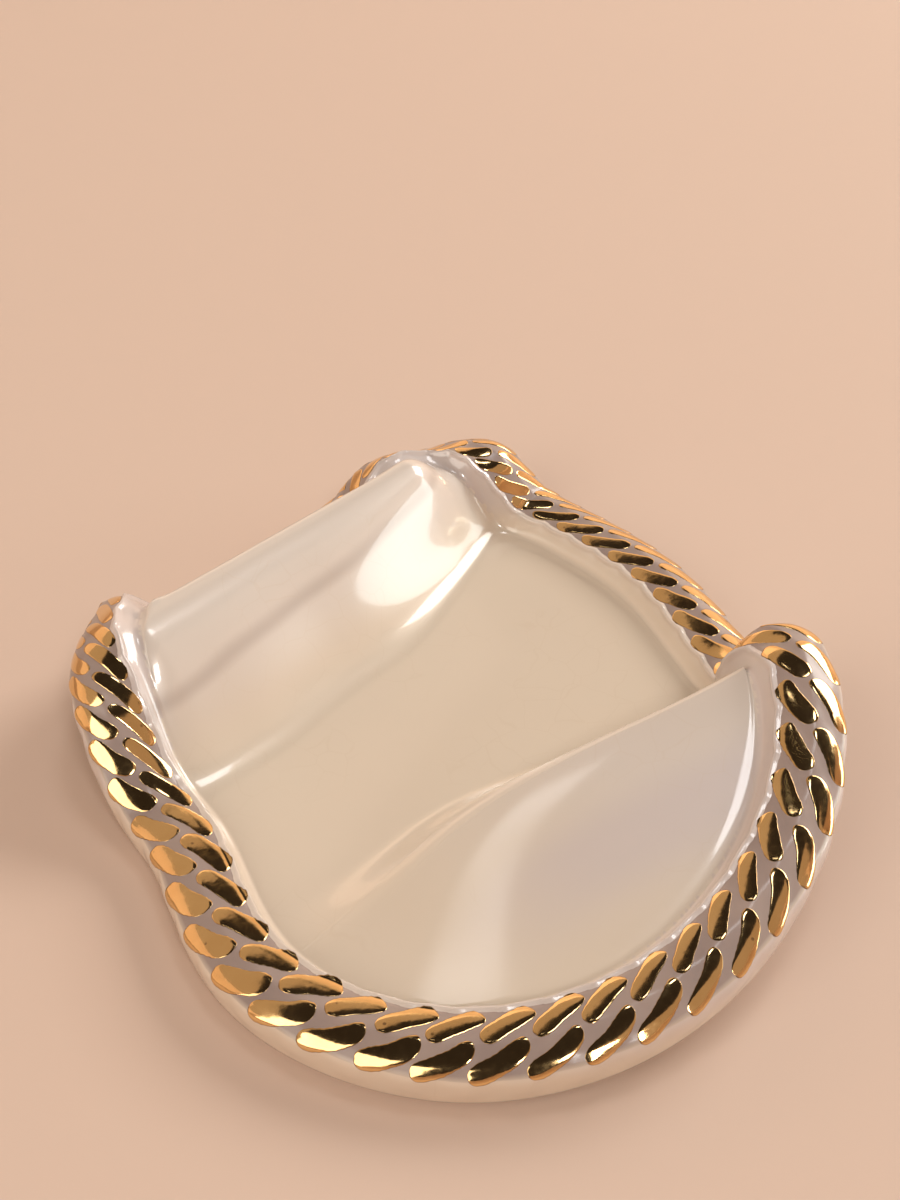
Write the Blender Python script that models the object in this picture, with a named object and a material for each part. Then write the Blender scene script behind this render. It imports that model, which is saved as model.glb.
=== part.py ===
"""A glazed trinket tray: a draped slab, two rim strips and a ring of gilded curb-chain links.

Metres, +Z up. X runs along the two ridges, Y across them, and the tray rests on Z = 0.
"""

import math

import bmesh
import bpy
import numpy as np

# Plan of the rim, followed by the chain's middle line
RIM_RADIUS = 0.064
RIM_RADIUS_SHARES = (
    0.96, 1.00, 1.09, 1.17, 1.05, 0.94, 0.915, 0.93, 0.98, 0.96, 0.90, 0.81,
    0.87, 0.99, 1.06, 1.105, 1.125, 1.12, 1.085, 1.055, 1.02, 0.98, 0.89, 0.90,
)

# Slab
SLAB_THICKNESS = 0.004
EDGE_TUCK = 0.0012
EDGE_ROUND = 0.0016

# Far ridge, from its toe on the dish floor, over its crest, to its outer foot
FAR_RIDGE_HEIGHT = 0.0205
FAR_TOE_OFFSET = 0.018
FAR_INNER_FLANK = 0.028
FAR_OUTER_FLANK = 0.006
FAR_MIDDLE_X = 0.0005
FAR_SPREAD_START = 0.024
FAR_DROP_START = 0.0335
FAR_DROP_LENGTH = 0.016
FAR_SPREAD_LENGTH = 0.018
FAR_FOOT_SPREAD = 0.010
FAR_END_HEIGHT_SHARE = 0.55
FAR_TOE_WIDENING = 0.003
FAR_WIDENING_LENGTH = 0.025
FAR_TOE_NARROWING = 0.014
FAR_NARROWING_START = 0.005
FAR_NARROWING_LENGTH = 0.050

# Near ridge, which fades in along the tray and keeps most of its height to the rim
NEAR_RIDGE_HEIGHT = 0.018
NEAR_RIDGE_START_X = -0.052
NEAR_RIDGE_LENGTH = 0.091
NEAR_RIDGE_GROWTH = 1.2
NEAR_CREST_OFFSET = 0.0215
NEAR_CREST_SWING = 0.020
NEAR_SWING_START_X = -0.022
NEAR_SWING_LENGTH = 0.075
NEAR_FLANK = 0.009
NEAR_SHOULDER_LENGTH = 0.036
NEAR_SHOULDER_HEIGHT_SHARE = 0.80

# Rim strips, laid on the slab's margin
BAND_INNER_WIDTH = 0.0074
BAND_OUTER_WIDTH = 0.0052
BAND_MIDDLE = (BAND_OUTER_WIDTH - BAND_INNER_WIDTH) / 2.0
CROWN_HEIGHT = 0.0046
CROWN_FULLNESS = 0.7
BAND_SLOPE_LIMIT = 1.0
BAND_SLOPE_EASING_DEG = 21.0
RIM_HEIGHT_EASING_DEG = 12.0
STRIP_SPANS_DEG = {"rim_strip_front": (-162.0, 72.0), "rim_strip_back": (72.0, 198.0)}

# Chain links, each two gilded lozenges in line on a low neck
LINK_COUNT = 57
LINK_LEAN_DEG = 29.0
LINK_REACH = 0.005
LINK_RISE = 0.0017
LINK_NECK_RISE = 0.0006
LINK_CLEARANCE = 0.0008
LINK_NECK_WIDTH = 0.0016
PITCH_SHARES = (1.02, 0.62, 0.90, 0.93, 0.92, 0.70, 1.20, 1.02, 0.95, 1.04, 1.26, 0.92)
LINK_LENGTH_SHARES = (0.0, 0.10, 0.25, 0.40, 0.50, 0.60, 0.75, 0.90, 1.0)
LINK_WIDTH_SHARES = (0.35, 0.80, 1.00, 0.72, 0.0, 0.72, 1.00, 0.80, 0.35)
LINK_RISE_SHARES = (0.40, 0.85, 1.00, 0.80, 0.0, 0.80, 1.00, 0.85, 0.40)
LINK_SIDE_SHARES = (-1.0, 0.0, 1.0, 0.9, 0.4, -0.4, -0.9)
LINK_HEIGHT_SHARES = (0.0, 0.0, 0.0, 0.6, 1.0, 1.0, 0.6)

# Gap left between pieces that the maker joined with slip
SEAT_GAP = 0.0003

# Fineness of the meshes
SECTORS = 120
CROWN_STEPS = 7
CROWN_SAMPLES = 241
DISH_BLEND_SHARE = 0.92
MERGE_DISTANCE = 0.000001

# Colours, roughness and metallic value
PEARL_GLAZE = ("pearl_glaze", (0.80, 0.74, 0.68, 1.0), 0.15, 0.0)
LILAC_GLAZE = ("lilac_glaze", (0.52, 0.45, 0.45, 1.0), 0.22, 0.0)
GOLD_LUSTRE = ("gold_lustre", (0.83, 0.58, 0.26, 1.0), 0.12, 1.0)


def clear_scene():
    """Remove what the start-up scene holds."""
    for thing in list(bpy.data.objects):
        bpy.data.objects.remove(thing, do_unlink=True)


def make_material(finish):
    """Make one Principled material from a finish tuple."""
    name, colour, roughness, metallic = finish
    material = bpy.data.materials.new(name)
    material.use_nodes = True
    shader = material.node_tree.nodes["Principled BSDF"]
    shader.inputs["Base Color"].default_value = colour
    shader.inputs["Roughness"].default_value = roughness
    shader.inputs["Metallic"].default_value = metallic
    return material


def ramp(value, start, length):
    """Rise smoothly from 0 at start to 1 at start + length."""
    x = np.clip((value - start) / length, 0.0, 1.0)
    return x * x * (3.0 - 2.0 * x)


def soft_ramp(value, start, length):
    """Rise from 0 to 1 as ramp does, with softer beginnings and ends, as a fold of clay does."""
    x = np.clip((value - start) / length, 0.0, 1.0)
    return x * x * x * (x * (6.0 * x - 15.0) + 10.0)


def closed_spline(shares, angle):
    """Read a closed uniform B-spline through a table of shares, at an angle in radians."""
    table = np.asarray(shares)
    place = np.asarray(angle) / math.tau * len(table)
    first = np.floor(place).astype(int)
    x = place - first
    weights = (
        (1.0 - x) ** 3 / 6.0,
        (3.0 * x**3 - 6.0 * x**2 + 4.0) / 6.0,
        (-3.0 * x**3 + 3.0 * x**2 + 3.0 * x + 1.0) / 6.0,
        x**3 / 6.0,
    )
    return sum(weight * table[(first - 1 + k) % len(table)] for k, weight in enumerate(weights))


def eased(values, width_deg):
    """Average a table that closes on itself over a rounded window, as stiff clay would."""
    half = round(width_deg / 360.0 * SECTORS / 2.0)
    window = np.hanning(2 * half + 3)[1:-1]
    ring = np.concatenate((values[-half - 1 : -1], values[:-1], values[:half]))
    soft = np.convolve(ring, window / window.sum(), mode="valid")
    return np.append(soft, soft[0])


def far_ridge(x, y):
    """Height of the far ridge above the dish floor."""
    out = np.abs(x - FAR_MIDDLE_X)
    spread = ramp(out, FAR_SPREAD_START, FAR_SPREAD_LENGTH)
    widening = FAR_TOE_WIDENING * ramp(-x, 0.0, FAR_WIDENING_LENGTH)
    narrowing = FAR_TOE_NARROWING * ramp(x, FAR_NARROWING_START, FAR_NARROWING_LENGTH)
    toe = FAR_TOE_OFFSET - widening + narrowing
    crest = FAR_TOE_OFFSET + FAR_INNER_FLANK
    foot = FAR_OUTER_FLANK + FAR_FOOT_SPREAD * spread
    end_drop = (1.0 - FAR_END_HEIGHT_SHARE) * ramp(out, FAR_DROP_START, FAR_DROP_LENGTH)
    across = soft_ramp(y, toe, crest - toe) * (1.0 - ramp(y, crest, foot))
    return FAR_RIDGE_HEIGHT * across * (1.0 - end_drop)


def near_ridge(x, y):
    """Height of the near ridge above the dish floor."""
    along = np.clip((x - NEAR_RIDGE_START_X) / NEAR_RIDGE_LENGTH, 0.0, 1.0) ** NEAR_RIDGE_GROWTH
    swing = NEAR_CREST_SWING * ramp(x, NEAR_SWING_START_X, NEAR_SWING_LENGTH)
    out = -y - NEAR_CREST_OFFSET - swing
    shoulder = (1.0 - NEAR_SHOULDER_HEIGHT_SHARE) * ramp(out, 0.0, NEAR_SHOULDER_LENGTH)
    across = ramp(out, -NEAR_FLANK, NEAR_FLANK) * (1.0 - shoulder)
    return NEAR_RIDGE_HEIGHT * along * across


def drape(x, y):
    """Height of the slab's upper face over the plan."""
    return SLAB_THICKNESS + far_ridge(x, y) + near_ridge(x, y)


class Spine:
    """The rim's middle line and the flat margin that the strips lie on."""

    def __init__(self):
        self.angle = np.linspace(0.0, math.tau, SECTORS + 1)
        radius = RIM_RADIUS * closed_spline(RIM_RADIUS_SHARES, self.angle)
        self.x = radius * np.cos(self.angle)
        self.y = radius * np.sin(self.angle)
        run_x = np.gradient(self.x, self.angle)
        run_y = np.gradient(self.y, self.angle)
        run = np.hypot(run_x, run_y)
        self.out_x = run_y / run
        self.out_y = -run_x / run
        for values in (self.out_x, self.out_y):
            values[0] = values[-1] = (values[0] + values[-1]) / 2.0
        outer = drape(self.x + BAND_OUTER_WIDTH * self.out_x, self.y + BAND_OUTER_WIDTH * self.out_y)
        inner = drape(self.x - BAND_INNER_WIDTH * self.out_x, self.y - BAND_INNER_WIDTH * self.out_y)
        slope = (outer - inner) / (BAND_INNER_WIDTH + BAND_OUTER_WIDTH)
        limited = np.clip(slope, -BAND_SLOPE_LIMIT, BAND_SLOPE_LIMIT)
        self.slope = eased(limited, BAND_SLOPE_EASING_DEG)
        self.height = eased(inner + limited * BAND_INNER_WIDTH, RIM_HEIGHT_EASING_DEG)
        dip = np.maximum(self.slope * BAND_INNER_WIDTH, -self.slope * BAND_OUTER_WIDTH)
        self.height = np.maximum(self.height, SLAB_THICKNESS + dip)
        self.stretch = np.hypot(1.0, np.gradient(self.height, self.angle) / run)

    def read(self, values, angle):
        """Read one of the spine's tables at an angle."""
        return np.interp(np.asarray(angle) % math.tau, self.angle, values)

    def place(self, angle, across, above):
        """Turn a place across the band and above its margin, where it climbs too, into a point."""
        above = above * self.read(self.stretch, angle)
        slope = self.read(self.slope, angle)
        level = 1.0 / np.sqrt(1.0 + slope * slope)
        side = (across - above * slope) * level
        x = self.read(self.x, angle) + self.read(self.out_x, angle) * side
        y = self.read(self.y, angle) + self.read(self.out_y, angle) * side
        z = self.read(self.height, angle) + (across * slope + above) * level
        return np.stack((x, y, z), axis=-1)


class Crown:
    """The rounded upper face of a strip, read by its run across the band from outside to inside."""

    def __init__(self):
        turn = np.linspace(math.pi / 2.0, -math.pi / 2.0, CROWN_SAMPLES)
        half = (BAND_OUTER_WIDTH + BAND_INNER_WIDTH) / 2.0
        fullness = np.clip(np.cos(turn), 0.0, 1.0) ** CROWN_FULLNESS
        self.across = BAND_MIDDLE + half * np.sin(turn)
        self.above = SEAT_GAP + CROWN_HEIGHT * fullness
        step = np.hypot(np.diff(self.across), np.diff(self.above))
        self.run = np.concatenate(((0.0,), np.cumsum(step)))
        self.run -= np.interp(0.0, -self.across, self.run)
        slant_across = np.gradient(self.across, self.run)
        slant_above = np.gradient(self.above, self.run)
        self.normal_across = slant_above
        self.normal_above = -slant_across

    def place(self, run, lift):
        """Find the place across the band and above its margin, lifted along the crown's normal."""
        normal_across = np.interp(run, self.run, self.normal_across)
        normal_above = np.interp(run, self.run, self.normal_above)
        across = np.interp(run, self.run, self.across) + lift * normal_across
        above = np.interp(run, self.run, self.above) + lift * normal_above
        return across, above


def lay_grid(mesh, columns, rows, place, split):
    """Add a grid to a mesh, move its points to place(column, row), and split its quads."""
    older = len(mesh.faces)
    made = bmesh.ops.create_grid(mesh, x_segments=columns, y_segments=rows, size=1.0)
    for point in made["verts"]:
        column = round((point.co.x + 1.0) / 2.0 * columns)
        row = round((point.co.y + 1.0) / 2.0 * rows)
        point.co = place(column, row)
    mesh.faces.ensure_lookup_table()
    bmesh.ops.triangulate(mesh, faces=mesh.faces[older:], quad_method=split)


def close_skin(name, mesh, material):
    """Join the grids of a mesh where they meet, cap its ends and make it an object."""
    bmesh.ops.remove_doubles(mesh, verts=mesh.verts[:], dist=MERGE_DISTANCE)
    open_edges = [edge for edge in mesh.edges if edge.is_boundary]
    if open_edges:
        bmesh.ops.holes_fill(mesh, edges=open_edges)
    bmesh.ops.recalc_face_normals(mesh, faces=mesh.faces[:])
    data = bpy.data.meshes.new(name)
    mesh.to_mesh(data)
    mesh.free()
    data.materials.append(material)
    data.shade_smooth()
    piece = bpy.data.objects.new(name, data)
    bpy.context.scene.collection.objects.link(piece)
    return piece


class Dish:
    """The slab's face inside the margin: a square net whose border is the margin's inner edge."""

    def __init__(self, edge):
        self.edge = edge
        self.step = edge[:, 2] - drape(edge[:, 0], edge[:, 1])
        self.side = SECTORS // 4
        self.corner = SECTORS * 5 // 8

    def border(self, values, column, row):
        """Carry values given on the border over to one place in the net."""
        u = column / self.side
        v = row / self.side
        front = values[(self.corner + column) % SECTORS]
        back = values[(self.corner - self.side - column) % SECTORS]
        left = values[(self.corner - row) % SECTORS]
        right = values[(self.corner + self.side + row) % SECTORS]
        corners = [values[(self.corner + turn * self.side) % SECTORS] for turn in range(4)]
        ruled = (1.0 - v) * front + v * back + (1.0 - u) * left + u * right
        near = (1.0 - u) * corners[0] + u * corners[1]
        far = (1.0 - u) * corners[3] + u * corners[2]
        return ruled - (1.0 - v) * near - v * far

    def place(self, column, row):
        """Find one point of the face, never lower than a slab that lies flat."""
        x, y = self.border(self.edge[:, :2], column, row)
        closeness = max(abs(2.0 * column / self.side - 1.0), abs(2.0 * row / self.side - 1.0))
        step = self.border(self.step, column, row)
        blended = drape(x, y) + step * ramp(closeness, DISH_BLEND_SHARE, 1.0 - DISH_BLEND_SHARE)
        return x, y, max(blended, SLAB_THICKNESS)

    def place_below(self, column, row):
        """Find one point of the underside, straight below the face."""
        x, y, z = self.place(column, row)
        return x, y, z - SLAB_THICKNESS


def build_slab(spine, material):
    """Build the draped slab: dish face, margin, rounded edge and the underside that follows it."""
    angles = np.arange(SECTORS) * math.tau / SECTORS
    sink = np.array((0.0, 0.0, SLAB_THICKNESS))
    edge = spine.place(angles, -BAND_INNER_WIDTH, 0.0)
    middle = spine.place(angles, BAND_MIDDLE, 0.0)
    outer = spine.place(angles, BAND_OUTER_WIDTH, 0.0)
    tucked = spine.place(angles, BAND_OUTER_WIDTH - EDGE_TUCK, 0.0)
    rings = [edge, middle, outer, outer - sink + (0.0, 0.0, EDGE_ROUND), tucked - sink, edge - sink]
    dish = Dish(edge)
    mesh = bmesh.new()
    lay_grid(mesh, dish.side, dish.side, dish.place, "SHORT_EDGE")
    lay_grid(mesh, dish.side, dish.side, dish.place_below, "SHORT_EDGE")
    lay_grid(mesh, SECTORS, len(rings) - 1, lambda column, row: rings[row][column % SECTORS], "FIXED")
    return close_skin("tray_slab", mesh, material)


def build_strip(name, first_deg, last_deg, spine, crown, material):
    """Build one rim strip, from joint to joint, with half of the joint's gap off each end."""
    runs = np.linspace(crown.run[0], crown.run[-1], CROWN_STEPS + 1)
    across, above = crown.place(runs, 0.0)
    section = [(across[0], SEAT_GAP), *zip(across[1:-1], above[1:-1]), (across[-1], SEAT_GAP)]
    section.append((BAND_MIDDLE, SEAT_GAP))
    steps = round((last_deg - first_deg) / 360.0 * SECTORS)
    angles = math.radians(first_deg) + np.arange(steps + 1) * math.tau / SECTORS
    angles[0] += SEAT_GAP / RIM_RADIUS / 2.0
    angles[-1] -= SEAT_GAP / RIM_RADIUS / 2.0

    def place(column, row):
        side, rise = section[column % len(section)]
        return spine.place(angles[row], side, rise)

    mesh = bmesh.new()
    lay_grid(mesh, len(section), steps, place, "FIXED")
    return close_skin(name, mesh, material)


def build_strips(spine, crown, material):
    """Build the rim strips end to end."""
    for name, (first_deg, last_deg) in STRIP_SPANS_DEG.items():
        build_strip(name, first_deg, last_deg, spine, crown, material)


def link_stations(spine, crown):
    """Share the rim out among the links: each one's run along the rim and its own pitch."""
    across, above = crown.place(0.0, 0.0)
    line = spine.place(spine.angle, across, above)
    step = np.linalg.norm(np.diff(line, axis=0), axis=1)
    run = np.concatenate(((0.0,), np.cumsum(step)))
    crowding = 1.0 / closed_spline(PITCH_SHARES, spine.angle)
    count = np.concatenate(((0.0,), np.cumsum(step * (crowding[1:] + crowding[:-1]) / 2.0)))
    count *= LINK_COUNT / count[-1]
    centres = np.interp(np.arange(LINK_COUNT), count, run)
    pitches = np.diff(np.append(centres, run[-1]))
    return run, centres, pitches


def build_link(name, centre, pitch, run, spine, crown, material):
    """Build one link: two lozenges in line across the band, joined by a low neck."""
    lean = math.radians(LINK_LEAN_DEG)
    half_width = (pitch * math.sin(lean) - LINK_CLEARANCE) / 2.0
    sections = []
    for share, width, rise in zip(LINK_LENGTH_SHARES, LINK_WIDTH_SHARES, LINK_RISE_SHARES):
        across_run = LINK_REACH * (2.0 * share - 1.0)
        along_run = centre + across_run / math.tan(lean)
        side = LINK_NECK_WIDTH / 2.0 + (half_width - LINK_NECK_WIDTH / 2.0) * width
        height = LINK_NECK_RISE + (LINK_RISE - LINK_NECK_RISE) * rise
        ring = []
        for side_share, height_share in zip(LINK_SIDE_SHARES, LINK_HEIGHT_SHARES):
            along = along_run + side * side_share * math.sin(lean)
            sideways = across_run - side * side_share * math.cos(lean)
            angle = np.interp(along % run[-1], run, spine.angle)
            across, above = crown.place(sideways, SEAT_GAP + height * height_share)
            ring.append(spine.place(angle, across, above))
        sections.append(ring)

    def place(column, row):
        return sections[row][column % len(LINK_SIDE_SHARES)]

    mesh = bmesh.new()
    lay_grid(mesh, len(LINK_SIDE_SHARES), len(sections) - 1, place, "SHORT_EDGE")
    return close_skin(name, mesh, material)


def build_links(spine, crown, material):
    """Build the ring of links."""
    run, centres, pitches = link_stations(spine, crown)
    for number, (centre, pitch) in enumerate(zip(centres, pitches), start=1):
        build_link(f"chain_link_{number:02d}", centre, pitch, run, spine, crown, material)


def main():
    """Build the tray."""
    clear_scene()
    spine = Spine()
    crown = Crown()
    build_slab(spine, make_material(PEARL_GLAZE))
    build_strips(spine, crown, make_material(LILAC_GLAZE))
    build_links(spine, crown, make_material(GOLD_LUSTRE))


main()
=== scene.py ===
"""Looks of a glazed jewelry tray: a draped body, two gilded rows round its rim, and a studio.

Metres, +Z up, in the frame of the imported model. X runs along the tray's two ridges.
"""

from __future__ import annotations

import logging
import math
from dataclasses import dataclass, field
from enum import Enum
from functools import reduce

import bmesh
import bpy
import numpy as np
from bpy.types import Material, Node, NodeOutputs, NodeSocket, NodeTree, Object
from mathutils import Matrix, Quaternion, Vector


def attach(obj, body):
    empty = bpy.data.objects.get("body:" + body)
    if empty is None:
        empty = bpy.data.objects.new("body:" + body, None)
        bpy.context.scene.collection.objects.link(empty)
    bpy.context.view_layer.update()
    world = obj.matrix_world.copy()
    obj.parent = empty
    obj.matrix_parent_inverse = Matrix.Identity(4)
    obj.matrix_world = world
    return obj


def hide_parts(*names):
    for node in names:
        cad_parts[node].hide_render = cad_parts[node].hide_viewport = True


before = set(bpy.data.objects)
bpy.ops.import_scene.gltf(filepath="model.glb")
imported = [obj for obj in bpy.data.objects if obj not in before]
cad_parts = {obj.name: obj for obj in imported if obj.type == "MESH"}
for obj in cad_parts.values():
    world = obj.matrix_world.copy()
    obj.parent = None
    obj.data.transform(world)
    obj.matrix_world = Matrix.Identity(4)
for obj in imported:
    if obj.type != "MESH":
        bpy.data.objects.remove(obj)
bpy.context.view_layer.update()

LOG = logging.getLogger("tray")
MM = 0.001
SAME_POINT = 1e-7
MERGE_DISTANCE = 1e-6

Colour = tuple[float, float, float]
Place = tuple[float, float, float]
Span = tuple[float, float]
Shares = tuple[float, ...]
Array = np.ndarray
Source = NodeSocket | float | Colour


class Row(Enum):
    """The two rows of gilded lozenges on the rim."""

    INNER = 1.0
    OUTER = -1.0


class Layer(Enum):
    """Names of the values that a mesh keeps at its points for its material."""

    POOL = "pool_line"
    PALE = "pale_glaze"
    SHINE = "gilding_depth"


def ramp(value: Array, start: float, length: float) -> Array:
    """Rise smoothly from 0 at the start to 1 a length further on."""
    x = np.clip((value - start) / length, 0.0, 1.0)
    return x * x * (3.0 - 2.0 * x)


def soft_ramp(value: Array, start: float, length: float) -> Array:
    """Rise from 0 to 1 as ramp does, with softer ends, as a fold of clay has."""
    x = np.clip((value - start) / length, 0.0, 1.0)
    return x * x * x * (x * (6.0 * x - 15.0) + 10.0)


def closed_spline(shares: Shares, angle: Array) -> Array:
    """Read a closed B-spline through a table of shares.

    Args:
        shares: The table, spread evenly over a full turn.
        angle: Where to read it, in radians.

    Returns:
        The smoothed share at each angle.
    """
    table = np.asarray(shares)
    place = np.asarray(angle) / math.tau * len(table)
    first = np.floor(place).astype(int)
    x = place - first
    weights = (
        (1.0 - x) ** 3 / 6.0,
        (3.0 * x**3 - 6.0 * x**2 + 4.0) / 6.0,
        (-3.0 * x**3 + 3.0 * x**2 + 3.0 * x + 1.0) / 6.0,
        x**3 / 6.0,
    )
    return sum(weight * table[(first - 1 + k) % len(table)] for k, weight in enumerate(weights))


@dataclass(frozen=True)
class Drape:
    """The slab's own shape: a flat valley between a far ridge and a near ridge, both along X."""

    thickness: float = 4.0 * MM
    far_height: float = 20.5 * MM
    far_toe: float = 18.0 * MM
    far_inner_flank: float = 28.0 * MM
    far_outer_flank: float = 6.0 * MM
    far_middle: float = 0.5 * MM
    far_spread: Span = (24.0 * MM, 18.0 * MM)
    far_foot_spread: float = 10.0 * MM
    far_drop: Span = (33.5 * MM, 16.0 * MM)
    far_end_share: float = 0.55
    toe_widening: float = 3.0 * MM
    widening: Span = (0.0, 25.0 * MM)
    toe_narrowing: float = 14.0 * MM
    narrowing: Span = (5.0 * MM, 50.0 * MM)
    near_height: float = 18.0 * MM
    near_reach: Span = (-52.0 * MM, 91.0 * MM)
    near_growth: float = 1.2
    near_crest: float = 21.5 * MM
    near_swing: float = 20.0 * MM
    swing: Span = (-22.0 * MM, 75.0 * MM)
    near_flank: float = 9.0 * MM
    shoulder: Span = (0.0, 36.0 * MM)
    shoulder_share: float = 0.80

    def toe_distance(self, x: Array, y: Array) -> Array:
        """How far a place lies beyond the middle line of the near ridge's flank."""
        return -y - self.near_crest - self.near_swing * ramp(x, *self.swing)

    def height(self, x: Array, y: Array) -> Array:
        """Height of the slab's upper face.

        Args:
            x: Places along the ridges.
            y: Places across them.

        Returns:
            The face's height at each place.
        """
        out = np.abs(x - self.far_middle)
        toe = self.far_toe - self.toe_widening * ramp(-x, *self.widening)
        toe = toe + self.toe_narrowing * ramp(x, *self.narrowing)
        crest = self.far_toe + self.far_inner_flank
        foot = self.far_outer_flank + self.far_foot_spread * ramp(out, *self.far_spread)
        far = self.far_height * soft_ramp(y, toe, crest - toe) * (1.0 - ramp(y, crest, foot))
        far = far * (1.0 - (1.0 - self.far_end_share) * ramp(out, *self.far_drop))
        out = self.toe_distance(x, y)
        near_start, near_length = self.near_reach
        along = np.clip((x - near_start) / near_length, 0.0, 1.0) ** self.near_growth
        shoulder = (1.0 - self.shoulder_share) * ramp(out, *self.shoulder)
        across = ramp(out, -self.near_flank, self.near_flank) * (1.0 - shoulder)
        return self.thickness + far + self.near_height * along * across


@dataclass
class RimLine:
    """The closed line that the relief follows, and the sloping margin under it."""

    drape: Drape
    radius: float = 64.0 * MM
    radius_shares: Shares = (
        0.96, 1.00, 1.09, 1.17, 1.05, 0.94, 0.915, 0.93, 0.98, 0.96, 0.90, 0.81,
        0.87, 0.99, 1.06, 1.105, 1.125, 1.12, 1.085, 1.055, 1.02, 0.98, 0.89, 0.90,
    )
    inner_width: float = 7.4 * MM
    outer_width: float = 5.2 * MM
    slope_limit: float = 1.0
    slope_easing: float = 21.0
    height_easing: float = 12.0
    samples: int = 1920
    angle: Array = field(init=False)
    table: tuple[Array, ...] = field(init=False)

    def __post_init__(self) -> None:
        """Work out the line's tables once."""
        angle = np.arange(self.samples) * math.tau / self.samples
        reach = self.radius * closed_spline(self.radius_shares, angle)
        x, y = reach * np.cos(angle), reach * np.sin(angle)
        run_x, run_y = self.rate(x), self.rate(y)
        run = np.hypot(run_x, run_y)
        out_x, out_y = run_y / run, -run_x / run
        outer = self.drape.height(x + self.outer_width * out_x, y + self.outer_width * out_y)
        inner = self.drape.height(x - self.inner_width * out_x, y - self.inner_width * out_y)
        slope = (outer - inner) / (self.inner_width + self.outer_width)
        slope = np.clip(slope, -self.slope_limit, self.slope_limit)
        height = self.eased(inner + slope * self.inner_width, self.height_easing)
        slope = self.eased(slope, self.slope_easing)
        dip = np.maximum(slope * self.inner_width, -slope * self.outer_width)
        height = np.maximum(height, self.drape.thickness + dip)
        stretch = np.hypot(1.0, self.rate(height) / run)
        self.angle = angle
        self.table = (x, y, out_x, out_y, height, slope, stretch)

    def rate(self, values: Array) -> Array:
        """Change of a closed table per radian, at each of its samples."""
        return (np.roll(values, -1) - np.roll(values, 1)) * self.samples / (2.0 * math.tau)

    def eased(self, values: Array, width: float) -> Array:
        """Average a closed table over a rounded window, as stiff clay would.

        Args:
            values: The table.
            width: The window's width in degrees.

        Returns:
            The softened table.
        """
        half = round(math.radians(width / 2.0) / math.tau * self.samples)
        window = np.hanning(2 * half + 3)[1:-1]
        ring = np.concatenate((values[-half:], values, values[:half]))
        return np.convolve(ring, window / window.sum(), mode="valid")[: self.samples]

    def place(self, angle: Array, across: Array | float, above: Array | float) -> Array:
        """Turn places over the margin into points.

        Args:
            angle: Where along the rim, in radians.
            across: How far outwards from the line.
            above: How far above the margin.

        Returns:
            The points, with X, Y and Z in the last axis.
        """
        x, y, out_x, out_y, height, slope, stretch = (
            np.interp(angle, self.angle, values, period=math.tau) for values in self.table
        )
        above = above * stretch
        level = 1.0 / np.sqrt(1.0 + slope * slope)
        side = (across - above * slope) * level
        z = height + (across * slope + above) * level
        return np.stack(np.broadcast_arrays(x + out_x * side, y + out_y * side, z), axis=-1)


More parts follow.
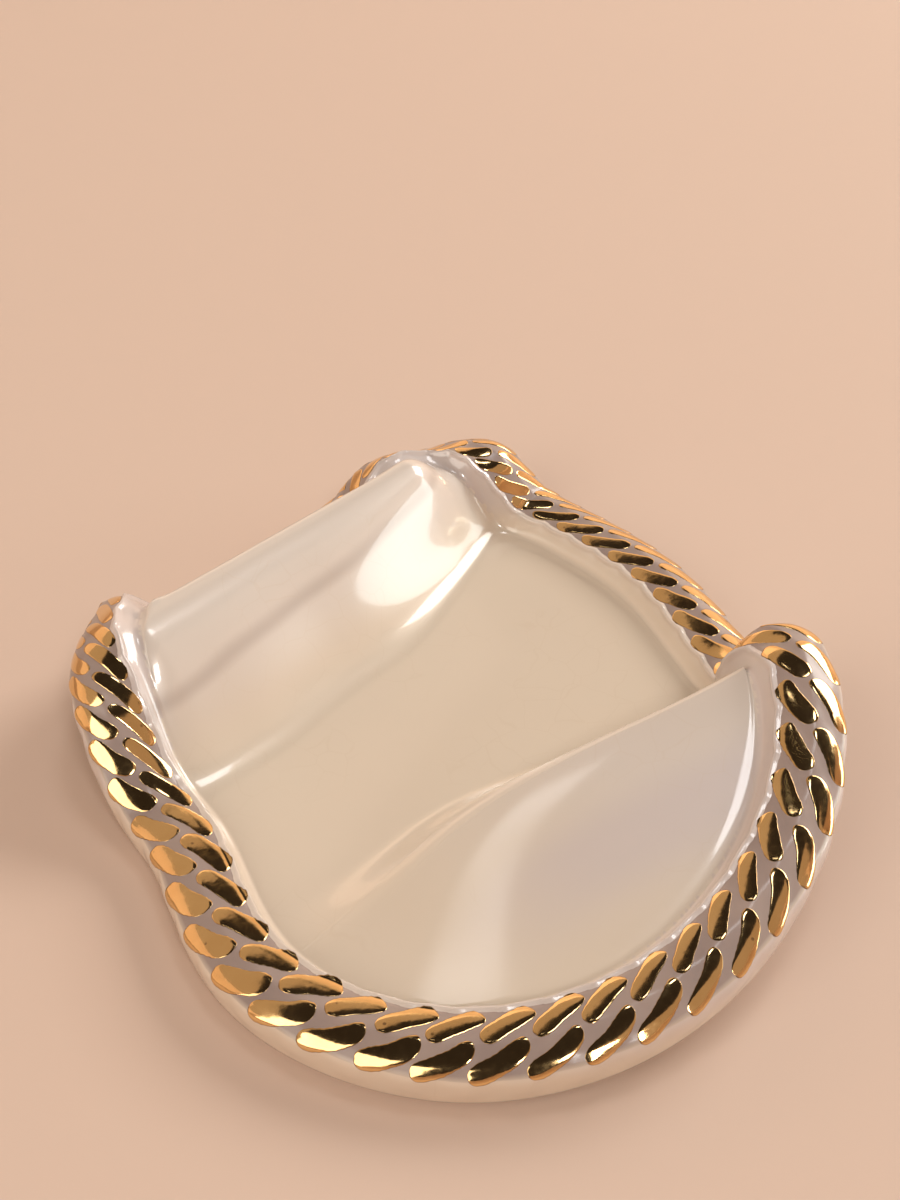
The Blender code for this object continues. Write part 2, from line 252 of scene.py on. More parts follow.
@dataclass
class Section:
    """The rim's rounded section, read by its run across the crown from outside to inside."""

    rim: RimLine
    crown_height: float = 4.6 * MM
    crown_floor: float = 2.0 * MM
    fullness: float = 0.7
    seat: float = 0.3 * MM
    skirt_start: float = -7.1 * MM
    skirt_width: float = 2.0 * MM
    wall_straight: float = 2.4 * MM
    wall_round: float = 1.6 * MM
    wall_tuck: float = 1.2 * MM
    crown_samples: int = 400
    bend_samples: int = 50
    wall_samples: int = 25
    table: Array = field(init=False)
    ends: Span = field(init=False)

    def __post_init__(self) -> None:
        """Trace the section from the foot of the wall, over the crown, to the skirt's foot."""
        half = (self.rim.outer_width + self.rim.inner_width) / 2.0
        middle = (self.rim.outer_width - self.rim.inner_width) / 2.0
        turn = np.linspace(math.pi / 2.0, -math.pi / 2.0, self.crown_samples)
        across = middle + half * np.sin(turn)
        above = self.seat + self.crown_height * np.clip(np.cos(turn), 0.0, 1.0) ** self.fullness
        kept = across > self.skirt_start
        across, above = across[kept], above[kept]
        q = np.linspace(0.0, 1.0, self.bend_samples)[1:]
        bend = np.linspace(math.pi / 2.0, 0.0, self.bend_samples)
        drop = np.linspace(self.wall_straight, 0.0, self.wall_samples)[1:]
        tucked = self.rim.outer_width - self.wall_tuck * (1.0 - np.cos(bend))
        parts = (
            (tucked, 0.0, self.wall_straight + self.wall_round * np.sin(bend)),
            (self.rim.outer_width, 0.0, drop),
            (across, above, 0.0),
            (across[-1] - self.skirt_width * q, above[-1] * (1.0 - q) ** 2, 0.0),
        )
        line = np.concatenate([np.stack(np.broadcast_arrays(*part), axis=-1) for part in parts])
        flat = np.stack((line[:, 0], line[:, 1] - line[:, 2]), axis=-1)
        keep = np.append(True, np.hypot(*np.diff(flat, axis=0).T) > SAME_POINT)
        line, flat = line[keep], flat[keep]
        run = np.append(0.0, np.cumsum(np.hypot(*np.diff(flat, axis=0).T)))
        # The run counts from the point of the crown that stands over the rim's line.
        high = flat[:, 1] > self.crown_floor
        run -= np.interp(0.0, -flat[high, 0], run[high])
        slant = np.gradient(flat, run, axis=0)
        slant /= np.linalg.norm(slant, axis=1)[:, None]
        # Columns: run, place across, height above, drop, and the two parts of the way outwards.
        self.table = np.column_stack((run, line, slant[:, 1], -slant[:, 0]))
        self.ends = (float(run[0]), float(run[-1]))

    def place(self, angle: Array, run: Array | float, lift: Array | float) -> Array:
        """Turn places on the section into points.

        Args:
            angle: Where along the rim, in radians.
            run: How far across the crown, inwards from the rim's line.
            lift: How far off the section, outwards.

        Returns:
            The points.
        """
        across, above, drop, tilt, rise = (
            np.interp(run, self.table[:, 0], column) for column in self.table.T[1:]
        )
        length = np.hypot(tilt, rise)
        points = self.rim.place(angle, across + lift * tilt / length, above + lift * rise / length)
        points[..., 2] -= drop
        return points


@dataclass
class ChainPattern:
    """Where the links lie round the rim, and the relief that they raise in the clay."""

    section: Section
    count: int = 57
    slant: float = math.radians(29.0)
    pitch_shares: Shares = (1.02, 0.62, 0.90, 0.93, 0.92, 0.70, 1.20, 1.02, 0.95, 1.04, 1.26, 0.92)
    width_shares: Shares = (1.04, 1.0, 1.0, 1.0, 1.0, 1.0, 1.04, 1.08, 0.95, 0.78, 0.92, 1.06)
    row_offset: float = 2.75 * MM
    half_length: float = 5.2 * MM
    clearance: float = 0.36 * MM
    bend: float = 0.55 * MM
    offset_play: float = 0.12 * MM
    bend_play: float = 0.25
    mound_height: float = 0.16 * MM
    mound_floor: float = 0.08 * MM
    mound_length: float = 1.16
    mound_width: float = 1.25
    mound_reach: float = 2.2
    mound_corner: int = 4
    mound_merging: int = 4
    bend_limit: float = 1.2
    bead_run: float = 5.45 * MM
    bead_swing: float = 1.15 * MM
    bead_height: float = 0.80 * MM
    bead_width: float = 0.48 * MM
    bead_arc: Span = (1.75, 0.60)
    facet_depth: float = 0.26 * MM
    facet_width: float = 2.6 * MM
    scallop_height: float = 0.40 * MM
    scallop_arc: Span = (-1.9, 0.62)
    scallop_top: Span = (4.6 * MM, 1.6 * MM)
    scallop_foot: Span = (8.0 * MM, 3.0 * MM)
    samples: int = 3840
    seed: int = 57
    angle: Array = field(init=False)
    run: Array = field(init=False)
    centres: Array = field(init=False)
    pitches: Array = field(init=False)
    half_widths: Array = field(init=False)
    hand: Array = field(init=False)

    def __post_init__(self) -> None:
        """Share the rim out among the links."""
        self.angle = np.linspace(0.0, math.tau, self.samples + 1)
        line = self.section.place(self.angle, 0.0, 0.0)
        step = np.linalg.norm(np.diff(line, axis=0), axis=1)
        self.run = np.append(0.0, np.cumsum(step))
        crowding = 1.0 / closed_spline(self.pitch_shares, self.angle)
        number = np.append(0.0, np.cumsum(step * (crowding[1:] + crowding[:-1]) / 2.0))
        number *= self.count / number[-1]
        self.centres = np.interp(np.arange(self.count), number, self.run)
        self.pitches = np.diff(np.append(self.centres, self.run[-1]))
        room = (self.pitches * math.sin(self.slant) - self.clearance) / 2.0
        self.half_widths = room * closed_spline(self.width_shares, self.angle_at(self.centres))
        self.hand = np.random.default_rng(self.seed).uniform(-1.0, 1.0, (self.count, 2, 5))

    def touch(self, link: int, row: Row) -> Array:
        """The maker's hand on one lozenge: five small differences from -1 to 1."""
        return self.hand[link, 0 if row is Row.INNER else 1]

    def middle(self, link: int, row: Row) -> float:
        """Run across the crown of one lozenge's middle."""
        return row.value * (self.row_offset + self.offset_play * self.touch(link, row)[0])

    def crossing(self, link: int, across: float) -> float:
        """Run along the rim at which a link's leaning line crosses a run across the crown."""
        return self.centres[link] + across / math.tan(self.slant)

    def bow(self, link: int, row: Row, length: Array) -> Array:
        """How far one lozenge bows to its side at places along it."""
        bend = self.bend * (1.0 + self.bend_play * self.touch(link, row)[1])
        return bend * (1.0 - (length / self.half_length) ** 2)

    def away(self, along: Array, centre: float) -> Array:
        """Runs along the rim as seen from a centre, the shorter way round."""
        whole = self.run[-1]
        return (np.asarray(along) - centre + whole / 2.0) % whole - whole / 2.0

    def angle_at(self, along: Array) -> Array:
        """Angle round the tray at a run along the rim."""
        return np.interp(np.asarray(along) % self.run[-1], self.run, self.angle)

    def to_rim(self, link: int, row: Row, length: Array, side: Array) -> tuple[Array, Array]:
        """Turn places on one lozenge into places on the rim.

        Args:
            link: Which link.
            row: Which of its two lozenges.
            length: How far along the lozenge from its middle.
            side: How far across it, outwards.

        Returns:
            The run along the rim and the run across its crown.
        """
        cos, sin = math.cos(self.slant), math.sin(self.slant)
        middle = self.middle(link, row)
        side = side - row.value * self.bow(link, row, length)
        along = self.crossing(link, middle) + length * cos + side * sin
        return along, middle + length * sin - side * cos

    def mounds(self, along: Array, across: Array) -> Array:
        """Height of the rope-like mounds that carry the gilding.

        Args:
            along: Runs along the rim.
            across: Runs across the crown.

        Returns:
            The mounds' height above the plain crown.
        """
        cos, sin = math.cos(self.slant), math.sin(self.slant)
        limit = self.bend_limit * self.half_length
        total = np.full(along.shape, self.mound_floor**self.mound_merging)
        for link in range(self.count):
            for row in Row:
                middle = self.middle(link, row)
                away = self.away(along, self.crossing(link, middle))
                near = np.abs(away) < self.mound_reach * self.half_length
                up = across[near] - middle
                length = away[near] * cos + up * sin
                side = away[near] * sin - up * cos
                side = side + row.value * self.bow(link, row, np.clip(length, -limit, limit))
                reach = (length / (self.half_length * self.mound_length)) ** self.mound_corner
                wide = self.half_widths[link] * self.mound_width
                reach = reach + (side / wide) ** self.mound_corner
                rise = self.mound_height * np.sqrt(np.clip(1.0 - reach, 0.0, 1.0))
                total[near] += rise**self.mound_merging
        return total ** (1.0 / self.mound_merging) - self.mound_floor

    def arc(self, along: Array, link: int, offset: float, share: float) -> Array:
        """Rounded arc beside one link, its offset in row offsets and its half length in pitches."""
        away = self.away(along, self.crossing(link, offset * self.row_offset))
        return np.clip(1.0 - (away / (share * self.pitches[link])) ** 2, 0.0, 1.0)

    def bead_line(self, along: Array) -> Array:
        """Run across the crown at which the scalloped bead hugs the inner row."""
        arcs = [self.arc(along, link, *self.bead_arc) for link in range(self.count)]
        return self.bead_run + self.bead_swing * np.sqrt(np.max(arcs, axis=0))

    def relief(self, along: Array, across: Array) -> Array:
        """Height of the whole relief above the plain section.

        Args:
            along: Runs along the rim.
            across: Runs across the crown.

        Returns:
            The relief's height: two flattened rows, mounds, bead and the outer wall's scallops.
        """
        along, across = np.broadcast_arrays(along, across)
        bead = (across - self.bead_line(along)) / self.bead_width
        height = self.mounds(along, across) + self.bead_height * np.exp(-bead * bead)
        for row in Row:
            off = (across - row.value * self.row_offset) / self.facet_width
            height = height - self.facet_depth * np.clip(1.0 - off * off, 0.0, 1.0)
        wall = ramp(-across, *self.scallop_top) * (1.0 - ramp(-across, *self.scallop_foot))
        for link in range(self.count):
            bump = self.arc(along, link, *self.scallop_arc)
            height = height + self.scallop_height * wall * bump * bump
        return height


def set_down(name: str, mesh: bmesh.types.BMesh, material: Material) -> Object:
    """Close a mesh and set it down in the scene.

    Args:
        name: The object's name.
        mesh: Its mesh, which is used up.
        material: Its finish.

    Returns:
        The object.
    """
    bmesh.ops.remove_doubles(mesh, verts=mesh.verts[:], dist=MERGE_DISTANCE)
    bmesh.ops.recalc_face_normals(mesh, faces=mesh.faces[:])
    data = bpy.data.meshes.new(name)
    mesh.to_mesh(data)
    mesh.free()
    data.materials.append(material)
    data.shade_smooth()
    made = bpy.data.objects.new(name, data)
    bpy.context.scene.collection.objects.link(made)
    return made


@dataclass
class Clay:
    """Lays nets of points and makes finished pieces of them."""

    name: str
    mesh: bmesh.types.BMesh = field(default_factory=bmesh.new)

    def lay(self, points: Array, values: dict[Layer, Array], wrap: bool = False) -> None:
        """Lay one net.

        Args:
            points: The net's points, by column and row.
            values: Values to keep at those points.
            wrap: Whether the net closes on its first column.
        """
        floats = self.mesh.verts.layers.float
        layers = {key: floats.get(key.value) or floats.new(key.value) for key in values}
        columns, rows = points.shape[0] - (not wrap), points.shape[1] - 1
        net = bmesh.ops.create_grid(self.mesh, x_segments=columns, y_segments=rows, size=1.0)
        for point in net["verts"]:
            column = round((point.co.x + 1.0) / 2.0 * columns) % len(points)
            row = round((point.co.y + 1.0) / 2.0 * rows)
            point.co = points[column, row]
            for key, layer in layers.items():
                point[layer] = float(values[key][column, row])

    def fire(self, material: Material, slot: str, *nodes: str) -> Object:
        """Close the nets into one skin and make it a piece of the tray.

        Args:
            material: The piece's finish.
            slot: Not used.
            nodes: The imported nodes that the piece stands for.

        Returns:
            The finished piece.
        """
        piece = set_down(self.name, self.mesh, material)
        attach(piece, "root")
        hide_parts(*nodes)
        LOG.info("%s: %d faces for %d nodes", self.name, len(piece.data.polygons), len(nodes))
        return piece


@dataclass(frozen=True)
class NodeSketch:
    """Places and joins the nodes of one material or node group."""

    tree: NodeTree

    def add(self, kind: str, **settings: object) -> Node:
        """Place one node.

        Args:
            kind: The node's type name.
            settings: Its own settings.

        Returns:
            The new node.
        """
        node = self.tree.nodes.new(kind)
        for name, value in settings.items():
            setattr(node, name, value)
        return node

    def join(self, source: Source, target: NodeSocket) -> None:
        """Feed a socket.

        Args:
            source: Another socket, or the number, colour or place to set.
            target: The socket to feed.
        """
        if isinstance(source, NodeSocket):
            self.tree.links.new(source, target)
        elif isinstance(source, tuple):
            target.default_value = (*source, 1.0)[: len(target.default_value)]
        else:
            target.default_value = source

    def feed(self, node: Node, **inputs: Source) -> Node:
        """Feed several sockets of a node.

        Args:
            node: The node.
            inputs: What goes into each, by its name with _ for a space.

        Returns:
            The same node.
        """
        for name, value in inputs.items():
            self.join(value, node.inputs[name.replace("_", " ")])
        return node

    def math(self, operation: str, *inputs: Source, clamp: bool = False) -> NodeSocket:
        """Place one sum.

        Args:
            operation: The sum's kind.
            inputs: What goes in.
            clamp: Whether the result stays between 0 and 1.

        Returns:
            The socket with its result.
        """
        node = self.add("ShaderNodeMath", operation=operation, use_clamp=clamp)
        for socket, value in zip(node.inputs, inputs):
            self.join(value, socket)
        return node.outputs[0]

    def product(self, *values: Source) -> NodeSocket:
        """Multiply values one after the other."""
        return reduce(lambda first, other: self.math("MULTIPLY", first, other), values)

    def span(self, value: NodeSocket, ends: Span) -> NodeSocket:
        """Spread a value smoothly from 0 at the first end to 1 at the second."""
        node = self.add("ShaderNodeMapRange", interpolation_type="SMOOTHSTEP")
        return self.feed(node, Value=value, From_Min=ends[0], From_Max=ends[1]).outputs["Result"]

    def blend(self, share: Source, first: Source, second: Source) -> NodeSocket:
        """Mix a share of a second colour into a first."""
        node = self.add("ShaderNodeMix", data_type="RGBA")
        return self.feed(node, Factor=share, A=first, B=second).outputs["Result"]

    def noise(self, place: NodeSocket, scale: Source, detail: float) -> Node:
        """Place one cloud of soft noise."""
        node = self.add("ShaderNodeTexNoise", noise_dimensions="3D")
        return self.feed(node, Vector=place, Scale=scale, Detail=detail)

    def bump(self, height: NodeSocket, relief: Span, shader: Node) -> None:
        """Raise a shader's surface by a height, at a strength and over a distance."""
        bump = self.add("ShaderNodeBump")
        self.feed(bump, Strength=relief[0], Distance=relief[1], Height=height)
        self.feed(shader, Normal=bump.outputs["Normal"])

    def object_place(self) -> NodeSocket:
        """Socket with the place on the object."""
        return self.add("ShaderNodeTexCoord").outputs["Object"]

    def kept(self, layer: Layer) -> NodeSocket:
        """Socket with a value that the mesh keeps at its points."""
        return self.add("ShaderNodeAttribute", attribute_name=layer.value).outputs["Fac"]

    def use(self, group: NodeTree, **inputs: Source) -> Node:
        """Place a node group and feed it."""
        return self.feed(self.add("ShaderNodeGroup", node_tree=group), **inputs)


@dataclass
class Workshop:
    """Effects that more than one finish shares, each made once."""

    warp_noise: Span = (90.0, 2.0)
    warp_reach: Place = (0.005, 0.005, 0.005)
    patch_noise: Span = (45.0, 2.0)
    patch_ends: Span = (0.45, 0.62)
    cloud_details: Span = (3.0, 4.0)
    cloud_ends: Span = (0.22, 0.78)
    crazing: NodeTree = field(init=False)
    mottle: NodeTree = field(init=False)

    def __post_init__(self) -> None:
        """Make the shared effects."""
        self.crazing = self.make_crazing()
        self.mottle = self.make_mottle()

    def begin(
        self, name: str, numbers: tuple[str, ...], outputs: tuple[str, ...]
    ) -> tuple[NodeSketch, NodeOutputs, Node]:
        """Start one node group that takes a place and some numbers.

        Args:
            name: The group's name.
            numbers: Its numbers.
            outputs: Its outputs, all plain values.

        Returns:
            The sketch to draw in, the sockets that come in, and the node to feed.
        """
        tree = bpy.data.node_groups.new(name, "ShaderNodeTree")
        tree.interface.new_socket("Place", in_out="INPUT", socket_type="NodeSocketVector")
        for way, keys in (("INPUT", numbers), ("OUTPUT", outputs)):
            for key in keys:
                tree.interface.new_socket(key, in_out=way, socket_type="NodeSocketFloat")
        sketch = NodeSketch(tree)
        return sketch, sketch.add("NodeGroupInput").outputs, sketch.add("NodeGroupOutput")

    def make_crazing(self) -> NodeTree:
        """Make the net of hairlines that a glaze opens as it cools.

        Returns:
            The node group, which gives 1 on a hairline.
        """
        sketch, taken, given = self.begin("glaze_crazing", ("Cell", "Hair"), ("Line",))
        place = taken["Place"]
        warp = sketch.noise(place, *self.warp_noise).outputs["Color"]
        shift = sketch.add("ShaderNodeVectorMath", operation="MULTIPLY_ADD")
        for source, target in zip((warp, self.warp_reach, place), shift.inputs):
            sketch.join(source, target)
        cells = sketch.add("ShaderNodeTexVoronoi", feature="DISTANCE_TO_EDGE")
        sketch.feed(cells, Vector=shift.outputs["Vector"], Scale=taken["Cell"])
        share = sketch.math("DIVIDE", cells.outputs["Distance"], taken["Hair"])
        line = sketch.math("SUBTRACT", 1.0, share, clamp=True)
        patch = sketch.noise(place, *self.patch_noise)
        shown = sketch.span(patch.outputs["Fac"], self.patch_ends)
        sketch.feed(given, Line=sketch.product(line, shown))
        return sketch.tree

    def make_mottle(self) -> NodeTree:
        """Make the soft cloudiness of a fired glaze.

        Returns:
            The node group, which gives a broad and a fine cloud from 0 to 1.
        """
        keys = ("Broad", "Fine")
        sketch, taken, given = self.begin("firing_mottle", keys, keys)
        for key, detail in zip(keys, self.cloud_details):
            cloud = sketch.noise(taken["Place"], taken[key], detail)
            sketch.join(sketch.span(cloud.outputs["Fac"], self.cloud_ends), given.inputs[key])
        return sketch.tree


def start_material(
    name: str, colour: Colour, **constants: float
) -> tuple[Material, NodeSketch, Node]:
    """Start one finish.

    Args:
        name: The material's name.
        colour: Its plain colour.
        constants: Values that are the same all over it.

    Returns:
        The material, the sketch to draw in and its shader.
    """
    material = bpy.data.materials.new(name)
    material.use_nodes = True
    material.diffuse_color = (*colour, 1.0)
    sketch = NodeSketch(material.node_tree)
    shader = material.node_tree.nodes["Principled BSDF"]
    sketch.feed(shader, Base_Color=colour, **constants)
    return material, sketch, shader


@dataclass(frozen=True)
class PearlGlaze:
    """Ivory glaze with pooled lines and fine crazing, a painted mauve sheen on its heights, a painted
    sheen band on the near ridge's top and a painted dark reflection on the far ridge.
    """

    ivory: Colour = (0.70, 0.59, 0.475)
    cream: Colour = (0.72, 0.61, 0.485)
    sheen_mauve: Colour = (0.69, 0.61, 0.54)
    sheen: Colour = (0.60, 0.52, 0.50)
    craze: Colour = (0.60, 0.47, 0.34)
    dark_reflection: Colour = (0.44, 0.36, 0.31)
    cloud_scale: float = 16.0
    craze_scale: float = 150.0
    craze_hair: float = 0.022
    craze_share: float = 0.16
    craze_depth: float = -0.06
    ridge_sheen_heights: Span = (5.0 * MM, 17.0 * MM)
    ridge_sheen_cloud: float = 0.20
    ridge_sheen_loss: float = 0.10
    line_spacing: float = 0.8
    line_wave: float = 0.9
    line_edge: float = 0.62
    line_start: Span = (-2.6, -1.6)
    line_end: Span = (0.9, 0.0)
    line_share: float = 0.25
    line_height: float = 1.2
    sheen_start: Span = (4.0, 9.0)
    sheen_end: Span = (17.0, 11.0)
    sheen_heights: Span = (5.0 * MM, 11.0 * MM)
    sheen_share: float = 0.7
    streak_tilt: float = -0.08
    streak_wave: float = 2.4 * MM
    streak_foot: Span = (17.4 * MM, 19.4 * MM)
    streak_top: Span = (21.6 * MM, 19.4 * MM)
    streak_places: Span = (22.0 * MM, 27.0 * MM)
    streak_share: float = 0.55
    roughness: float = 0.28
    rough_cloud: float = 0.04
    relief: Span = (0.35, 0.10 * MM)

    def make(self, workshop: Workshop) -> Material:
        """Make the finish.

        Args:
            workshop: The shared effects.

        Returns:
            The material.
        """
        material, sketch, shader = start_material(
            "pearl_glaze", self.ivory,
            Metallic=0.06, Coat_Weight=1.0, Coat_Roughness=0.075, Coat_IOR=1.55, IOR=1.5,
        )
        place = sketch.object_place()
        cloud = sketch.use(workshop.mottle, Place=place, Broad=self.cloud_scale).outputs["Broad"]
        net = sketch.use(workshop.crazing, Place=place, Cell=self.craze_scale, Hair=self.craze_hair)
        crack = net.outputs["Line"]
        x, y, z = sketch.feed(sketch.add("ShaderNodeSeparateXYZ"), Vector=place).outputs
        pool = sketch.kept(Layer.POOL)
        # Painted sheen: the colour turns mauve as the face rises, for the pearl glaze's sheen on the
        # ridges.
        height_sheen = sketch.span(z, self.ridge_sheen_heights)
        cloudy = sketch.math("MULTIPLY_ADD", cloud, self.ridge_sheen_cloud, height_sheen)
        lustre = sketch.math("SUBTRACT", cloudy, self.ridge_sheen_loss, clamp=True)
        wave = sketch.math("MULTIPLY_ADD", cloud, self.line_wave, pool)
        wave = sketch.math("PINGPONG", wave, self.line_spacing)
        line = sketch.product(
            sketch.span(wave, (self.line_edge, self.line_spacing)),
            sketch.span(pool, self.line_start),
            sketch.span(pool, self.line_end),
        )
        sheen = sketch.product(
            sketch.span(pool, self.sheen_start),
            sketch.span(pool, self.sheen_end),
            sketch.span(z, self.sheen_heights),
            self.sheen_share,
        )
        # Painted reflection: a soft dark streak along the far ridge's face, below its crest.
        level = sketch.math("MULTIPLY_ADD", x, self.streak_tilt, z)
        level = sketch.math("MULTIPLY_ADD", cloud, self.streak_wave, level)
        dark_reflection = sketch.product(
            sketch.span(level, self.streak_foot),
            sketch.span(level, self.streak_top),
            sketch.span(y, self.streak_places),
            self.streak_share,
        )
        body = sketch.blend(cloud, self.ivory, self.cream)
        for share, colour in (
            (lustre, self.sheen_mauve),
            (sheen, self.sheen),
            (dark_reflection, self.dark_reflection),
            (sketch.product(line, self.line_share), self.cream),
            (sketch.product(crack, self.craze_share), self.craze),
        ):
            body = sketch.blend(share, body, colour)
        rough = sketch.math("MULTIPLY_ADD", cloud, self.rough_cloud, self.roughness)
        sketch.feed(shader, Base_Color=body, Roughness=rough)
        height = sketch.product(crack, self.craze_depth)
        height = sketch.math("MULTIPLY_ADD", line, self.line_height, height)
        sketch.bump(height, self.relief, shader)
        return material


@dataclass(frozen=True)
class LilacGlaze:
    """Lilac-grey lustre glaze of the relief's ground, darker where it pools."""

    lilac: Colour = (0.38, 0.29, 0.25)
    pooled: Colour = (0.22, 0.165, 0.155)
    pale: Colour = (0.70, 0.61, 0.50)
    cloud_scales: Span = (60.0, 600.0)
    pooled_share: float = 0.60
    roughness: float = 0.38
    rough_cloud: float = 0.08
    relief: Span = (0.2, 0.05 * MM)

    def make(self, workshop: Workshop) -> Material:
        """Make the finish.

        Args:
            workshop: The shared effects.

        Returns:
            The material.
        """
        material, sketch, shader = start_material(
            "lilac_glaze", self.lilac,
            Metallic=0.05, Coat_Weight=0.5, Coat_Roughness=0.16, Coat_IOR=1.5, IOR=1.45,
        )
        broad, fine = self.cloud_scales
        mottle = sketch.use(workshop.mottle, Place=sketch.object_place(), Broad=broad, Fine=fine)
        broad, fine = mottle.outputs
        ground = sketch.blend(sketch.product(broad, self.pooled_share), self.lilac, self.pooled)
        ground = sketch.blend(sketch.kept(Layer.PALE), ground, self.pale)
        rough = sketch.math("MULTIPLY_ADD", fine, self.rough_cloud, self.roughness)
        sketch.feed(shader, Base_Color=ground, Roughness=rough)
        sketch.bump(fine, self.relief, shader)
        return material


@dataclass(frozen=True)
class GoldLustre:
    """Bright gold film brushed over the glaze, thin and brown at its ragged edges."""

    gold: Colour = (0.88, 0.60, 0.28)
    deep: Colour = (0.74, 0.45, 0.18)
    worn: Colour = (0.20, 0.12, 0.07)
    cloud_scales: Span = (180.0, 900.0)
    deep_share: float = 0.5
    fray: float = -0.16
    worn_depths: Span = (0.42, 0.02)
    pit_scale: float = 420.0
    pit_sizes: Span = (0.16, 0.08)
    pit_clouds: Span = (0.55, 0.9)
    pit_share: float = 0.7
    roughness: float = 0.07
    rough_cloud: float = 0.06
    rough_edge: float = 0.25
    fine_height: float = 0.15
    relief: Span = (0.25, 0.08 * MM)

    def make(self, workshop: Workshop) -> Material:
        """Make the finish.

        Args:
            workshop: The shared effects.

        Returns:
            The material.
        """
        material, sketch, shader = start_material(
            "gold_lustre", self.gold, Metallic=1.0, Specular_IOR_Level=0.6
        )
        place = sketch.object_place()
        broad, fine = self.cloud_scales
        broad, fine = sketch.use(workshop.mottle, Place=place, Broad=broad, Fine=fine).outputs
        frayed = sketch.math("MULTIPLY_ADD", fine, self.fray, sketch.kept(Layer.SHINE))
        edge = sketch.span(frayed, self.worn_depths)
        pits = sketch.add("ShaderNodeTexVoronoi", feature="F1")
        pits = sketch.feed(pits, Vector=place, Scale=self.pit_scale).outputs["Distance"]
        speck = sketch.product(sketch.span(pits, self.pit_sizes), sketch.span(broad, self.pit_clouds))
        film = sketch.blend(sketch.product(broad, self.deep_share), self.gold, self.deep)
        film = sketch.blend(edge, film, self.worn)
        film = sketch.blend(sketch.product(speck, self.pit_share), film, self.worn)
        rough = sketch.math("MULTIPLY_ADD", fine, self.rough_cloud, self.roughness)
        rough = sketch.math("MULTIPLY_ADD", edge, self.rough_edge, rough)
        sketch.feed(shader, Base_Color=film, Roughness=rough)
        height = sketch.math("MULTIPLY_ADD", fine, self.fine_height, broad)
        sketch.bump(height, self.relief, shader)
        return material


